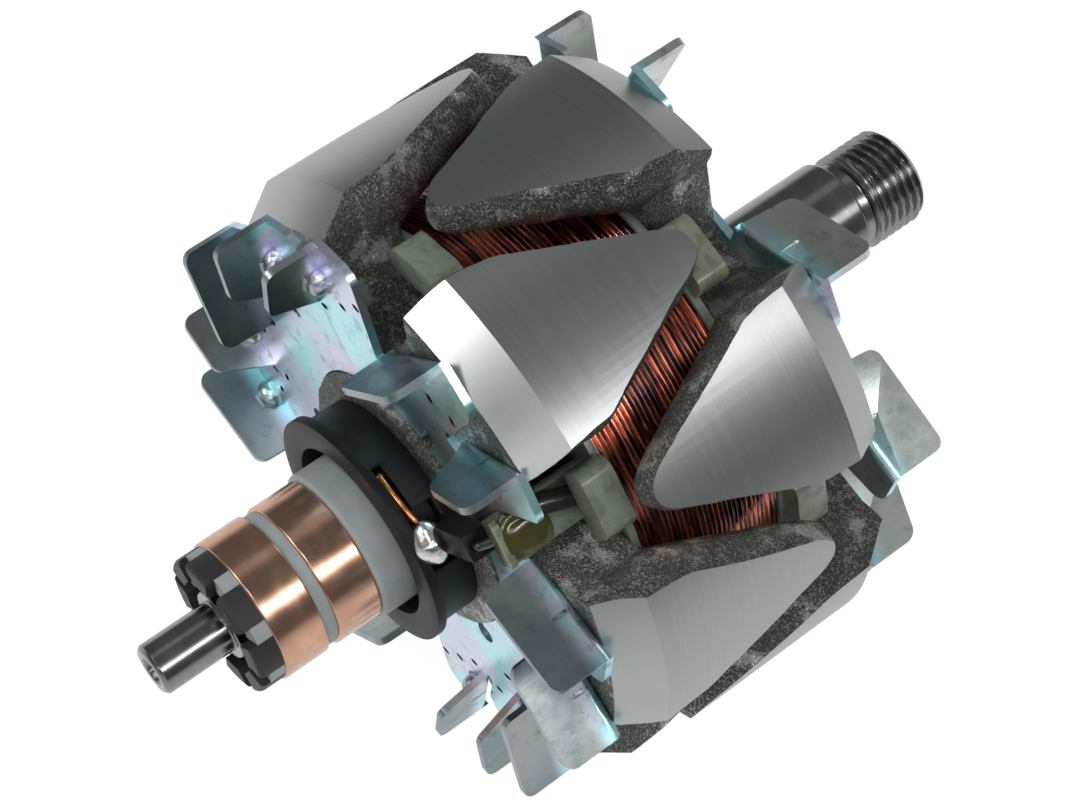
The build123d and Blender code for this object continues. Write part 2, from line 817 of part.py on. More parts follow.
with BuildPart() as solder_joint_a:
    with BuildSketch(solder_axes(lead_angles[0])):
        RectangleRounded(2 * solder_half_length, 2 * solder_half_width, solder_half_width * 0.98)
    extrude(amount=solder_half_width, both=True)
    chamfer(end_edges(solder_joint_a), solder_half_width * 0.5)
    with BuildSketch(along(rear_face)):
        Circle(pocket_floor_r)
    extrude(amount=collar_length + pole_disc, mode=Mode.SUBTRACT)
    add(lead_wire_a.part, mode=Mode.SUBTRACT)
    add(ring_conductor_outer.part, mode=Mode.SUBTRACT)
solder_joint_a.part.label = "solder_joint_a"
export_step(solder_joint_a.part, "parts/solder_joint_a.step")


with BuildPart() as solder_joint_b:
    with BuildSketch(solder_axes(lead_angles[1])):
        RectangleRounded(2 * solder_half_length, 2 * solder_half_width, solder_half_width * 0.98)
    extrude(amount=solder_half_width, both=True)
    chamfer(end_edges(solder_joint_b), solder_half_width * 0.5)
    with BuildSketch(along(rear_face)):
        Circle(pocket_floor_r)
    extrude(amount=collar_length + pole_disc, mode=Mode.SUBTRACT)
    add(lead_wire_b.part, mode=Mode.SUBTRACT)
    add(ring_conductor_inner.part, mode=Mode.SUBTRACT)
solder_joint_b.part.label = "solder_joint_b"
export_step(solder_joint_b.part, "parts/solder_joint_b.step")
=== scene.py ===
# %% [markdown]
# # A claw-pole generator rotor
# The rotor spins inside a vehicle's generator. A coil sits between two forged steel poles
# whose fingers interlock, so each finger becomes one magnetic pole. The CAD model holds every
# piece in its real size. This script adds what CAD leaves out: the thread, the winding, the
# forged skin, and the way each surface looks. The rotor's axis lies along Y, and the threaded
# end points to +Y. Lengths below are written in millimetres and turned into metres once.

import bpy
import bmesh
import math
import numpy as np
from mathutils import Matrix, Vector, noise


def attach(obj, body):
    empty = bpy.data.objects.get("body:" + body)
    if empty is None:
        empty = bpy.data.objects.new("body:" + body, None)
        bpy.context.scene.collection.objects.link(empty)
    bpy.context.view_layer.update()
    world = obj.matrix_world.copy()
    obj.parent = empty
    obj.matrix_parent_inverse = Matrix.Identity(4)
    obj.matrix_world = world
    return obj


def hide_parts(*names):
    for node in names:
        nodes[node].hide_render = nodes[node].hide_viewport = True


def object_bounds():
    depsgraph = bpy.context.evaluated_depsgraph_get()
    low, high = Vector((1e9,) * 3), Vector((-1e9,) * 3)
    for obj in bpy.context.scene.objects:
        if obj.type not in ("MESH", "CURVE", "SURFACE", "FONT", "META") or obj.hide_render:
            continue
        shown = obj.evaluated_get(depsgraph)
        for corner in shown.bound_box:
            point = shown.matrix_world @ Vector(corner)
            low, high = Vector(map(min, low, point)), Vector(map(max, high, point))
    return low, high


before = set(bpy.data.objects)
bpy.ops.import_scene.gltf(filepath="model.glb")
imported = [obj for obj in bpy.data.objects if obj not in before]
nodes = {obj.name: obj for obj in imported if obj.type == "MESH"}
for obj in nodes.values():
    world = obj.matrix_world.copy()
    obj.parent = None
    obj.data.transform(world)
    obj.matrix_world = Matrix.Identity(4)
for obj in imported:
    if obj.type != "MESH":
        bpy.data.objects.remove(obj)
cad_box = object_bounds()
mm = 0.001
print("nodes:", len(nodes), "box:", [[round(v, 4) for v in corner] for corner in cad_box])

# %% [markdown]
# ## Camera
# The photo looks down on the rotor from its slip-ring side. Circles that share one axis show
# up as ellipses, and their shapes fix both the direction of view and the distance. The numbers
# below come from that fit, so a ring in the render falls on the same ring in the photo.

# %% Camera
camera_place = Vector((153.9, -178.7, 348.8)) * mm
camera_right = Vector((0.6219, 0.7827, 0.0254))
camera_down = Vector((0.6835, -0.5267, -0.5054))
lens_mm = 91.6
sensor_mm = 36.0

right = camera_right.normalized()
forward = right.cross(camera_down).normalized()
up = right.cross(forward)
camera = bpy.data.objects.new("camera", bpy.data.cameras.new("camera"))
bpy.context.scene.collection.objects.link(camera)
turn = Matrix((right, up, -forward)).transposed()
camera.matrix_world = Matrix.Translation(camera_place) @ turn.to_4x4()
camera.data.lens = lens_mm
camera.data.sensor_width = sensor_mm
camera.data.sensor_fit = "HORIZONTAL"
camera.data.clip_start = 0.01
bpy.context.scene.camera = camera
print("camera looks along", [round(v, 3) for v in forward])

# %% [markdown]
# ## Helpers for shader nodes
# Each helper adds one node and returns what comes out of it. A number goes into the node as a
# fixed value, and anything else is linked.

# %% Shader helpers
def new_material(name):
    """A material with an empty node tree apart from its output."""
    material = bpy.data.materials.new(name)
    material.use_nodes = True
    tree = material.node_tree
    tree.nodes.clear()
    return material, tree, tree.nodes.new("ShaderNodeOutputMaterial")


def feed(tree, socket, value):
    """Sets a socket to a number or a colour, or links it to an output."""
    if isinstance(value, (int, float)):
        socket.default_value = value
    elif isinstance(value, tuple):
        socket.default_value = (*value, 1)
    else:
        tree.links.new(value, socket)


def math_node(tree, operation, first, second=None, third=None, clamp=False):
    """Sum, product or another operation of one to three values."""
    node = tree.nodes.new("ShaderNodeMath")
    node.operation = operation
    node.use_clamp = clamp
    for socket, value in zip(node.inputs, (first, second, third)):
        if value is not None:
            feed(tree, socket, value)
    return node.outputs[0]


def vector_node(tree, operation, first, second=None, output="Vector"):
    """Operation on a linked vector and, where there is one, a fixed vector."""
    node = tree.nodes.new("ShaderNodeVectorMath")
    node.operation = operation
    tree.links.new(first, node.inputs[0])
    if second is not None:
        node.inputs[1].default_value = second
    return node.outputs[output]


def noise_node(tree, vector, scale, detail=4.0, roughness=0.5, distortion=0.0):
    """Noise from 0 to 1 along this vector."""
    node = tree.nodes.new("ShaderNodeTexNoise")
    tree.links.new(vector, node.inputs["Vector"])
    node.inputs["Scale"].default_value = scale
    node.inputs["Detail"].default_value = detail
    node.inputs["Roughness"].default_value = roughness
    node.inputs["Distortion"].default_value = distortion
    return node.outputs["Fac"]


def mix_colour(tree, factor, first, second):
    """Colour between the first and the second one."""
    node = tree.nodes.new("ShaderNodeMix")
    node.data_type = "RGBA"
    for index, value in ((0, factor), (6, first), (7, second)):
        feed(tree, node.inputs[index], value)
    return node.outputs[2]


def map_range(tree, value, low, high, to_low=0.0, to_high=1.0):
    """Soft step: to_low where the value is low, to_high where it is high."""
    node = tree.nodes.new("ShaderNodeMapRange")
    node.interpolation_type = "SMOOTHSTEP"
    tree.links.new(value, node.inputs["Value"])
    node.inputs["From Min"].default_value = low
    node.inputs["From Max"].default_value = high
    node.inputs["To Min"].default_value = to_low
    node.inputs["To Max"].default_value = to_high
    return node.outputs[0]


def bump_node(tree, height, distance, strength=1.0, normal=None):
    """Normal of a surface with this height; distance is in metres."""
    node = tree.nodes.new("ShaderNodeBump")
    node.inputs["Strength"].default_value = strength
    node.inputs["Distance"].default_value = distance
    tree.links.new(height, node.inputs["Height"])
    if normal is not None:
        tree.links.new(normal, node.inputs["Normal"])
    return node.outputs[0]

# %% [markdown]
# ## Floor, backdrop and light
# Metal only looks like metal when it has something to reflect. The camera sees a white world
# and floor, but a reflection sees a darker studio: a dim ceiling, two soft bright patches and two
# strips along the rotor's axis, which give the long bands on the shaft and rings. The floor
# reflects brightly near the rotor and fades with the distance. Three small lamps add glints.

# %% Floor and light
axis_middle = Vector((0.0, -45.0, 0.0)) * mm
floor_z = cad_box[0][2] - 0.02 * mm
floor_half = 3.0
floor_glow = 1.12
floor_share = 0.86
bright_spot = (-0.10, 0.04, 0.0)
bright_reach, dark_reach = 0.20, 0.5
bright_mirror, dark_mirror = 0.62, 0.07
ceiling = ((0.1, 0.2, 1.0), 25, 85, 0.02)
room_level = 0.14
spread_share = 0.40


def ray_masks(tree):
    """Two masks: 1 for camera and transmission rays, and 1 for glossy rays."""
    path = tree.nodes.new("ShaderNodeLightPath").outputs
    clear = math_node(tree, "MAXIMUM", path["Is Camera Ray"], path["Is Transmission Ray"])
    return clear, path["Is Glossy Ray"]


floor_material, tree, output = new_material("white floor")
diffuse = tree.nodes.new("ShaderNodeBsdfDiffuse")
diffuse.inputs["Color"].default_value = (0.8, 0.8, 0.8, 1)
glow = tree.nodes.new("ShaderNodeEmission")
glow.inputs["Color"].default_value = (1, 1, 1, 1)
glow.inputs["Strength"].default_value = floor_glow
clear, gloss = ray_masks(tree)
where = tree.nodes.new("ShaderNodeTexCoord").outputs["Object"]
reach = vector_node(tree, "DISTANCE", where, bright_spot, "Value")
near = map_range(tree, reach, bright_reach, dark_reach, bright_mirror, dark_mirror)
mirrored = math_node(tree, "MULTIPLY", gloss, near)
mix = tree.nodes.new("ShaderNodeMixShader")
tree.links.new(math_node(tree, "MULTIPLY_ADD", clear, floor_share, mirrored), mix.inputs[0])
tree.links.new(diffuse.outputs[0], mix.inputs[1])
tree.links.new(glow.outputs[0], mix.inputs[2])
tree.links.new(mix.outputs[0], output.inputs["Surface"])

floor_mesh = bpy.data.meshes.new("floor")
corners = [
    (x * floor_half, y * floor_half, floor_z) for x, y in ((-1, -1), (1, -1), (1, 1), (-1, 1))
]
floor_mesh.from_pydata(corners, [], [(0, 1, 2, 3)])
floor_mesh.materials.append(floor_material)
floor = bpy.data.objects.new("floor", floor_mesh)
bpy.context.scene.collection.objects.link(floor)

world = bpy.data.worlds.new("white studio")
bpy.context.scene.world = world
world.use_nodes = True
tree = world.node_tree
background = tree.nodes["Background"]
way = tree.nodes.new("ShaderNodeTexCoord").outputs["Generated"]


def studio_patch(toward, narrow, wide, level, strip=False):
    """Soft bright patch in this direction, or a strip that runs along the rotor's axis."""
    seen = way
    if strip:
        seen = vector_node(tree, "NORMALIZE", vector_node(tree, "MULTIPLY", way, (1, 0, 1)))
    dot = vector_node(tree, "DOT_PRODUCT", seen, Vector(toward).normalized(), "Value")
    edge, full = math.cos(math.radians(wide)), math.cos(math.radians(narrow))
    return map_range(tree, dot, edge, full, 0.0, level)


mirror_level = math_node(tree, "ADD", studio_patch(*ceiling), room_level)
for patch in (
    ((-0.34, -0.72, 0.60), 11, 27, 1.4),
    ((0.20, -0.32, 0.90), 5, 17, 1.5),
    ((0.66, 0.0, 0.75), 4, 12, 2.1, True),
    ((-0.42, 0.0, 0.91), 3, 12, 0.25, True),
):
    mirror_level = math_node(tree, "ADD", mirror_level, studio_patch(*patch))
clear, gloss = ray_masks(tree)
mirror_level = math_node(tree, "MULTIPLY", mirror_level, gloss)
not_gloss = math_node(tree, "SUBTRACT", 1.0, gloss)
spread_level = math_node(tree, "MULTIPLY", not_gloss, spread_share)
level = math_node(tree, "ADD", mirror_level, spread_level)
tree.links.new(math_node(tree, "MAXIMUM", level, clear), background.inputs["Strength"])
background.inputs["Color"].default_value = (1, 1, 1, 1)


def area_lamp(name, place, width, height, watts):
    """Rectangular soft lamp that points at the rotor."""
    lamp = bpy.data.lights.new(name, "AREA")
    lamp.shape = "RECTANGLE"
    lamp.size = width
    lamp.size_y = height
    lamp.energy = watts
    holder = bpy.data.objects.new(name, lamp)
    holder.location = place
    aim = axis_middle - holder.location
    holder.rotation_euler = aim.to_track_quat("-Z", "Y").to_euler()
    bpy.context.scene.collection.objects.link(holder)


area_lamp("key lamp", Vector((-0.34, -0.70, 0.58)), 0.14, 0.10, 1.1)
area_lamp("side lamp", Vector((0.62, 0.12, 0.70)), 0.4, 0.03, 1.0)
area_lamp("top lamp", Vector((0.16, -0.28, 0.88)), 0.12, 0.08, 0.8)
bpy.context.scene.view_settings.view_transform = "Standard"
print("floor at", round(floor_z, 5))

# %% [markdown]
# ## Helpers for meshes
# Most of the rotor is turned, so one helper spins a profile round the Y axis, and another does
# the same where the radius also changes with the angle. Angles run from +X towards +Z.

# %% Mesh helpers
def on_axis(radius, angle, place):
    """Point at this radius (mm), angle (degrees) and place along the axis (mm), in metres."""
    turn_by = math.radians(angle)
    return Vector((radius * math.cos(turn_by), place, radius * math.sin(turn_by))) * mm


def link_mesh(name, mesh):
    """Smooth-shaded object with this mesh, in the scene."""
    piece = bpy.data.objects.new(name, mesh)
    bpy.context.scene.collection.objects.link(piece)
    mesh.polygons.foreach_set("use_smooth", [True] * len(mesh.polygons))
    return piece


def surface_of_rows(name, points, closed_rows=False):
    """Mesh through a grid of points, shape (rows, columns, 3), closed along the columns."""
    rows, columns, _ = points.shape
    row_count = rows if closed_rows else rows - 1
    starts = np.arange(row_count)[:, None] * columns
    first = (starts + np.arange(columns)[None, :]).ravel()
    after = (starts + (np.arange(columns)[None, :] + 1) % columns).ravel()
    total = rows * columns
    faces = np.stack(
        [first, after, (after + columns) % total, (first + columns) % total], axis=1
    )
    mesh = bpy.data.meshes.new(name)
    mesh.from_pydata(points.reshape(-1, 3).tolist(), [], faces.tolist())
    mesh.update()
    return mesh


def turned_grid(name, angles, rows, closed_rows=False):
    """Mesh from rows of (place, radius for each angle), all in mm."""
    places = np.array([row[0] for row in rows])[:, None] + 0 * angles[None, :]
    radii = np.array([row[1] for row in rows])
    points = np.stack([radii * np.cos(angles), places, radii * np.sin(angles)], axis=2) * mm
    return surface_of_rows(name, points, closed_rows)


def spun(name, profile, segments):
    """Closed turned mesh: profile is (radius, place) in mm, from one end round to the other."""
    angles = np.linspace(0, 2 * math.pi, segments, endpoint=False)
    rows = [(place, radius + 0 * angles) for radius, place in profile]
    return turned_grid(name, angles, rows, closed_rows=True)


def outward(mesh):
    """Makes all faces point outwards and joins points that fall together."""
    work = bmesh.new()
    work.from_mesh(mesh)
    bmesh.ops.remove_doubles(work, verts=work.verts, dist=1e-7)
    bmesh.ops.recalc_face_normals(work, faces=work.faces)
    work.to_mesh(mesh)
    work.free()
    return mesh


def sharpen(mesh, degrees):
    """Marks edges whose faces meet at more than this angle as sharp."""
    work = bmesh.new()
    work.from_mesh(mesh)
    limit = math.radians(degrees)
    for edge in work.edges:
        if len(edge.link_faces) == 2 and edge.calc_face_angle(0) > limit:
            edge.smooth = False
    work.to_mesh(mesh)
    work.free()


def dress(piece, slot_name, material, *replaced):
    """Puts a material on a piece, lets it ride on the rotor and hides the CAD parts it replaces.
    """
    piece.data.materials.clear()
    piece.data.materials.append(material)
    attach(piece, "root")
    if replaced:
        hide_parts(*replaced)


def with_modifier(piece, kind, **settings):
    """Changes the piece's mesh by one modifier and applies it."""
    modifier = piece.modifiers.new(kind.lower(), kind)
    for key, value in settings.items():
        setattr(modifier, key, value)
    graph = bpy.context.evaluated_depsgraph_get()
    result = bpy.data.meshes.new_from_object(piece.evaluated_get(graph))
    piece.modifiers.clear()
    old = piece.data
    piece.data = result
    bpy.data.meshes.remove(old)


# %% [markdown]
# ## Shared shader groups
# A group puts out only what changes over the surface: a colour, a mask, a value or a normal.
# The shader itself stays in each material, so its fixed settings are easy to find.

# %% Shader groups
def new_group(name, inputs, outputs):
    """Shader node group; inputs are (name, kind, value) and outputs are (name, kind)."""
    group = bpy.data.node_groups.new(name, "ShaderNodeTree")
    for title, kind, value in inputs:
        socket = group.interface.new_socket(title, in_out="INPUT", socket_type=kind)
        socket.default_value = value
    for title, kind in outputs:
        group.interface.new_socket(title, in_out="OUTPUT", socket_type=kind)
    return group, group.nodes.new("NodeGroupInput"), group.nodes.new("NodeGroupOutput")


def axis_coordinates():
    """Group: where a point lies round the rotor's axis, in millimetres."""
    group, _, result = new_group(
        "Round the axis",
        [],
        [("Radius mm", "NodeSocketFloat"), ("Place mm", "NodeSocketFloat"),
         ("Arc mm", "NodeSocketFloat"), ("Vector mm", "NodeSocketVector")],
    )
    scaled = group.nodes.new("ShaderNodeVectorMath")
    scaled.operation = "SCALE"
    scaled.inputs["Scale"].default_value = 1 / mm
    group.links.new(group.nodes.new("ShaderNodeTexCoord").outputs["Object"], scaled.inputs[0])
    parts = group.nodes.new("ShaderNodeSeparateXYZ")
    group.links.new(scaled.outputs[0], parts.inputs[0])
    square = math_node(
        group, "ADD",
        math_node(group, "MULTIPLY", parts.outputs[0], parts.outputs[0]),
        math_node(group, "MULTIPLY", parts.outputs[2], parts.outputs[2]),
    )
    radius = math_node(group, "SQRT", square)
    turn = math_node(group, "ARCTAN2", parts.outputs[2], parts.outputs[0])
    arc = math_node(group, "MULTIPLY", turn, radius)
    group.links.new(radius, result.inputs["Radius mm"])
    group.links.new(parts.outputs[1], result.inputs["Place mm"])
    group.links.new(arc, result.inputs["Arc mm"])
    group.links.new(scaled.outputs[0], result.inputs["Vector mm"])
    return group


def lathe_lines():
    """Group: fine lines left round a turned surface, as a height and a tint."""
    group, entry, result = new_group(
        "Lathe lines",
        [("Radius mm", "NodeSocketFloat", 1.0), ("Place mm", "NodeSocketFloat", 0.0),
         ("Arc mm", "NodeSocketFloat", 0.0), ("Lines per mm", "NodeSocketFloat", 6.0)],
        [("Height", "NodeSocketFloat"), ("Tint", "NodeSocketFloat")],
    )
    across = math_node(group, "ADD", entry.outputs["Place mm"], entry.outputs["Radius mm"])
    across = math_node(group, "MULTIPLY", across, entry.outputs["Lines per mm"])
    along = math_node(group, "MULTIPLY", entry.outputs["Arc mm"], 0.035)
    stretched = group.nodes.new("ShaderNodeCombineXYZ")
    group.links.new(across, stretched.inputs[0])
    group.links.new(along, stretched.inputs[1])
    fine = noise_node(group, stretched.outputs[0], 1.0, 3.0, 0.6)
    wide = noise_node(group, stretched.outputs[0], 0.17, 2.0, 0.5)
    height = math_node(group, "ADD", fine, math_node(group, "MULTIPLY", wide, 0.15))
    group.links.new(height, result.inputs["Height"])
    group.links.new(wide, result.inputs["Tint"])
    return group


def forged_skin():
    """Group: scaled, grainy skin of a forging, as a height and a mask of speckle with painted
    glints.
    """
    group, entry, result = new_group(
        "Forged skin",
        [("Vector mm", "NodeSocketVector", (0, 0, 0))],
        [("Height", "NodeSocketFloat"), ("Speckle and glints", "NodeSocketFloat")],
    )
    coarse = noise_node(group, entry.outputs[0], 0.5, 4.0, 0.55)
    grain = noise_node(group, entry.outputs[0], 2.4, 6.0, 0.72)
    sparkle = noise_node(group, entry.outputs[0], 4.6, 2.0, 0.6)
    height = math_node(
        group, "ADD",
        math_node(group, "MULTIPLY", coarse, 1.2),
        math_node(group, "MULTIPLY", grain, 1.0),
    )
    group.links.new(height, result.inputs["Height"])
    # Painted glints: this mask marks bright specks in the grain, denser in some places, plus
    # bright patches; it lightens the skin's colour.
    spots = math_node(
        group, "MULTIPLY",
        map_range(group, grain, 0.46, 0.62),
        map_range(group, sparkle, 0.40, 0.62),
    )
    glint_cloud = noise_node(group, entry.outputs[0], 0.22, 3.0, 0.55)
    spots = math_node(
        group, "MULTIPLY", spots, map_range(group, glint_cloud, 0.38, 0.60, 0.45, 1.0)
    )
    patches = map_range(group, glint_cloud, 0.53, 0.66, 0.0, 0.35)
    spots = math_node(group, "ADD", spots, patches, clamp=True)
    group.links.new(spots, result.inputs["Speckle and glints"])
    return group


axis_group = axis_coordinates()
lathe_group = lathe_lines()
forged_group = forged_skin()


def use_group(tree, group, **links):
    """Node for a group; an underscore in a title stands for a space."""
    node = tree.nodes.new("ShaderNodeGroup")
    node.node_tree = group
    for title, value in links.items():
        feed(tree, node.inputs[title.replace("_", " ")], value)
    return node


def turned_lines(tree, place, lines_per_mm):
    """Node for the lathe lines at this place round the axis."""
    return use_group(
        tree, lathe_group, Radius_mm=place.outputs["Radius mm"],
        Place_mm=place.outputs["Place mm"], Arc_mm=place.outputs["Arc mm"],
        Lines_per_mm=lines_per_mm,
    )


def principled(name, **settings):
    """Material with one Principled shader; settings are its fixed values."""
    material, tree, output = new_material(name)
    shader = tree.nodes.new("ShaderNodeBsdfPrincipled")
    for title, value in settings.items():
        socket = shader.inputs[title.replace("_", " ")]
        socket.default_value = (*value, 1) if isinstance(value, tuple) else value
    tree.links.new(shader.outputs[0], output.inputs["Surface"])
    return material, tree, shader


print("groups:", [group.name for group in bpy.data.node_groups])

# %% [markdown]
# ## Forged and turned claw poles
# A claw pole starts as a forging with rounded, slightly uneven fingers. A lathe then cuts only
# the outside, the sloping corner and the end face. The script does the same: it swells the CAD
# solid a little, rounds and roughens it like a forging, and then keeps what lies inside the
# turned envelope. The cut leaves crisp edges that wander where the forging is uneven.

# %% Claw poles
poles_middle = -43.0
pole_r = 49.3
pole_half = 24.8
chamfer_width = 4.3
chamfer_length = 6.2
boss_r = 21.3
boss_height = 2.4
bore_r = 9.0
finger_reach = 12.5
skin_allowance = 0.95
chamfer_allowance = 2.4
face_allowance = 2.2
voxel = 0.72
forging_wave, forging_grain = 0.20, 0.06


def forged_pole(name, node, side, seed):
    """Claw pole as a turned forging; side is -1 at the slip rings and +1 at the drive end."""
    mesh = nodes[node].data.copy()
    mesh.materials.clear()
    points = np.empty(len(mesh.vertices) * 3)
    mesh.vertices.foreach_get("co", points)
    points = points.reshape(-1, 3) / mm
    radius = np.hypot(points[:, 0], points[:, 2])
    away = (points[:, 1] - poles_middle) * side
    grow = np.where(radius > pole_r - 0.05, skin_allowance, 0.0)
    near_end = away > pole_half - chamfer_length - 0.05
    on_chamfer = near_end & (radius > pole_r - chamfer_width - 0.1)
    grow = np.where(on_chamfer, chamfer_allowance, grow)
    factor = (radius + grow) / np.maximum(radius, 0.001)
    points[:, 0] *= factor
    points[:, 2] *= factor
    end_face = (away > pole_half - 0.05) & (radius > boss_r + 1)
    points[:, 1] += np.where(end_face, face_allowance * side, 0.0)
    mesh.vertices.foreach_set("co", (points * mm).ravel())
    mesh.update()
    forging = link_mesh(name + " forging", mesh)
    with_modifier(forging, "REMESH", mode="VOXEL", voxel_size=voxel * mm)
    with_modifier(forging, "SMOOTH", factor=0.5, iterations=7)
    mesh = forging.data
    points = np.empty(len(mesh.vertices) * 3)
    normals = np.empty(len(mesh.vertices) * 3)
    mesh.vertices.foreach_get("co", points)
    mesh.vertices.foreach_get("normal", normals)
    points = points.reshape(-1, 3)
    normals = normals.reshape(-1, 3)
    shift = Vector((seed * 7.0, 0, 0))
    rise = np.array([
        forging_wave * noise.fractal(Vector(p) * 160 + shift, 1.0, 2.0, 3)
        + forging_grain * noise.fractal(Vector(p) * 700 + shift, 1.0, 2.0, 2)
        for p in points
    ])
    points += normals * (rise * mm)[:, None]
    mesh.vertices.foreach_set("co", points.ravel())
    mesh.update()
    face = poles_middle + side * pole_half
    tip = poles_middle - side * (finger_reach + 0.1)
    profile = [
        (bore_r, tip), (pole_r, tip), (pole_r, face - side * chamfer_length),
        (pole_r - chamfer_width, face), (boss_r, face), (boss_r, face + side * boss_height),
        (bore_r, face + side * boss_height),
    ]
    envelope = link_mesh(name + " envelope", outward(spun(name + " envelope", profile, 240)))
    cut = forging.modifiers.new("turning", "BOOLEAN")
    cut.operation = "INTERSECT"
    cut.object = envelope
    cut.solver = "MANIFOLD"
    graph = bpy.context.evaluated_depsgraph_get()
    result = bpy.data.meshes.new_from_object(forging.evaluated_get(graph))
    for spare in (forging, envelope):
        bpy.data.objects.remove(spare)
    result.materials.clear()
    pole = link_mesh(name, result)
    sharpen(result, 24)
    print(name, "faces", len(result.polygons))
    return pole


def pole_material():
    """Forged steel with a turned outside; the radius tells which one a point is on."""
    material, tree, shader = principled("forged and turned steel", Metallic=1.0)
    place = use_group(tree, axis_group)
    from_middle = math_node(tree, "SUBTRACT", place.outputs["Place mm"], poles_middle)
    away = math_node(tree, "ABSOLUTE", from_middle)
    cone_start = pole_half - chamfer_length
    past_start = math_node(tree, "SUBTRACT", away, cone_start)
    drop = math_node(tree, "MULTIPLY", past_start, chamfer_width / chamfer_length)
    limit = math_node(tree, "MINIMUM", math_node(tree, "SUBTRACT", pole_r, drop), pole_r)
    outside = math_node(tree, "SUBTRACT", place.outputs["Radius mm"], limit)
    turned = map_range(tree, outside, -0.03, -0.008)
    # Painted highlight: on the turned chamfer the colour is lightened towards a pale grey.
    cone_highlight = map_range(tree, away, cone_start, cone_start + 0.05)
    lines = turned_lines(tree, place, 14.0)
    skin = use_group(tree, forged_group, Vector_mm=place.outputs["Vector mm"])
    tint = map_range(tree, lines.outputs["Tint"], 0.3, 0.7)
    cut_colour = mix_colour(tree, tint, (0.38, 0.395, 0.39), (0.41, 0.425, 0.42))
    cone_highlight = math_node(tree, "MULTIPLY", cone_highlight, 0.4)
    cut_colour = mix_colour(tree, cone_highlight, cut_colour, (0.55, 0.56, 0.55))
    # Painted glints: where the speckle mask is high, the forged skin's colour goes to near white.
    skin_colour = mix_colour(
        tree, skin.outputs["Speckle and glints"], (0.110, 0.115, 0.100), (0.95, 0.95, 0.90)
    )
    tree.links.new(mix_colour(tree, turned, skin_colour, cut_colour), shader.inputs["Base Color"])
    rough = math_node(tree, "MULTIPLY_ADD", skin.outputs["Speckle and glints"], -0.18, 0.40)
    turned_rough = math_node(tree, "MULTIPLY_ADD", lines.outputs["Tint"], 0.06, 0.31)
    blend = tree.nodes.new("ShaderNodeMix")
    tree.links.new(turned, blend.inputs[0])
    tree.links.new(rough, blend.inputs[2])
    tree.links.new(turned_rough, blend.inputs[3])
    tree.links.new(blend.outputs[0], shader.inputs["Roughness"])
    skin_height = math_node(
        tree, "MULTIPLY", skin.outputs["Height"], math_node(tree, "SUBTRACT", 1.0, turned)
    )
    line_height = math_node(tree, "MULTIPLY", lines.outputs["Height"], turned)
    normal = bump_node(tree, skin_height, 0.00045, 1.0)
    normal = bump_node(tree, line_height, 0.000006, 0.5, normal)
    tree.links.new(normal, shader.inputs["Normal"])
    return material


steel_material = pole_material()
rear_pole = forged_pole("forged_pole_rear", "claw_pole_rear", -1, 1)
dress(rear_pole, "pole_steel", steel_material, "claw_pole_rear")
front_pole = forged_pole("forged_pole_front", "claw_pole_front", 1, 2)
dress(front_pole, "pole_steel", steel_material, "claw_pole_front")

# %% [markdown]
# ## Shaft with its thread
# The seats are turned and ground, so they shine in long bands. The thread is a real helix: the
# radius at each point follows the pitch and the angle, and it fades out at both ends.

# %% Shaft
seat_r = 8.5
thread_r = 7.95
thread_pitch = 1.5
thread_from, thread_to = 15.2, 25.0
thread_depth = 0.92
rear_end = -113.95


def thread_radius(place, angles):
    """Radius of the thread at this place, for each angle in radians."""
    phase = np.mod(place / thread_pitch + angles / (2 * math.pi), 1.0)
    flank = np.clip(np.abs(phase - 0.5) * 2 * 1.32 - 0.14, 0.0, 1.0)
    depth = thread_depth * (flank * flank * (3 - 2 * flank) * 0.35 + flank * 0.65)
    fade_in = min(max((place - thread_from - 0.3) / 1.2, 0.0), 1.0)
    return np.minimum(thread_r - depth * fade_in, thread_to + 6.9 - place + 0 * angles)


def shaft_rows():
    """Rows of (place, radius for each angle), from the drive end to the rear end."""
    angles = np.linspace(0, 2 * math.pi, 180, endpoint=False)
    level = 0 * angles
    rows = [(20.0, level), (20.0, level + 2.2), (22.8, level + 2.2), (24.92, level + 3.45)]
    rows += [(25.0, level + 3.6)]
    for place in np.linspace(thread_to, thread_from + 0.3, 116):
        rows.append((place, thread_radius(place, angles)))
    profile = [
        (thread_from, 7.6), (15.0, 7.05), (14.9, 7.0), (13.25, 7.0), (13.05, 7.15), (13.0, 8.05),
        (12.9, 8.15), (12.55, 8.45), (12.4, seat_r), (12.2, seat_r), (-12.9, seat_r), (-13.0, 9.0),
        (-74.0, 9.0), (-74.0, 5.5), (-102.3, 5.5), (-102.45, 5.35), (-102.45, 4.15),
        (-102.6, 4.0), (-102.8, 4.0), (rear_end + 0.75, 4.0), (rear_end + 0.55, 4.0),
        (rear_end + 0.05, 3.55), (rear_end, 3.45),
        (rear_end, 2.35), (rear_end + 0.1, 2.2), (rear_end + 1.8, 1.2), (rear_end + 5.0, 1.2),
        (rear_end + 5.0, 0.0),
    ]
    rows += [(place, level + radius) for place, radius in profile]
    return angles, rows


def turned_material(name, colour, rough, lines_per_mm, depth):
    """Turned or ground metal with fine lines round it and faint wear."""
    material, tree, shader = principled(name, Metallic=1.0)
    place = use_group(tree, axis_group)
    lines = turned_lines(tree, place, lines_per_mm)
    wear = noise_node(tree, place.outputs["Vector mm"], 0.22, 5.0, 0.6)
    tint = math_node(
        tree, "MULTIPLY", map_range(tree, wear, 0.35, 0.7),
        map_range(tree, lines.outputs["Tint"], 0.25, 0.75, 0.4, 1.0),
    )
    dark = tuple(channel * 0.72 for channel in colour)
    tree.links.new(mix_colour(tree, tint, dark, colour), shader.inputs["Base Color"])
    worn_rough = math_node(tree, "MULTIPLY_ADD", wear, 0.14, rough)
    tree.links.new(worn_rough, shader.inputs["Roughness"])
    normal = bump_node(tree, lines.outputs["Height"], depth, 0.6)
    tree.links.new(normal, shader.inputs["Normal"])
    return material


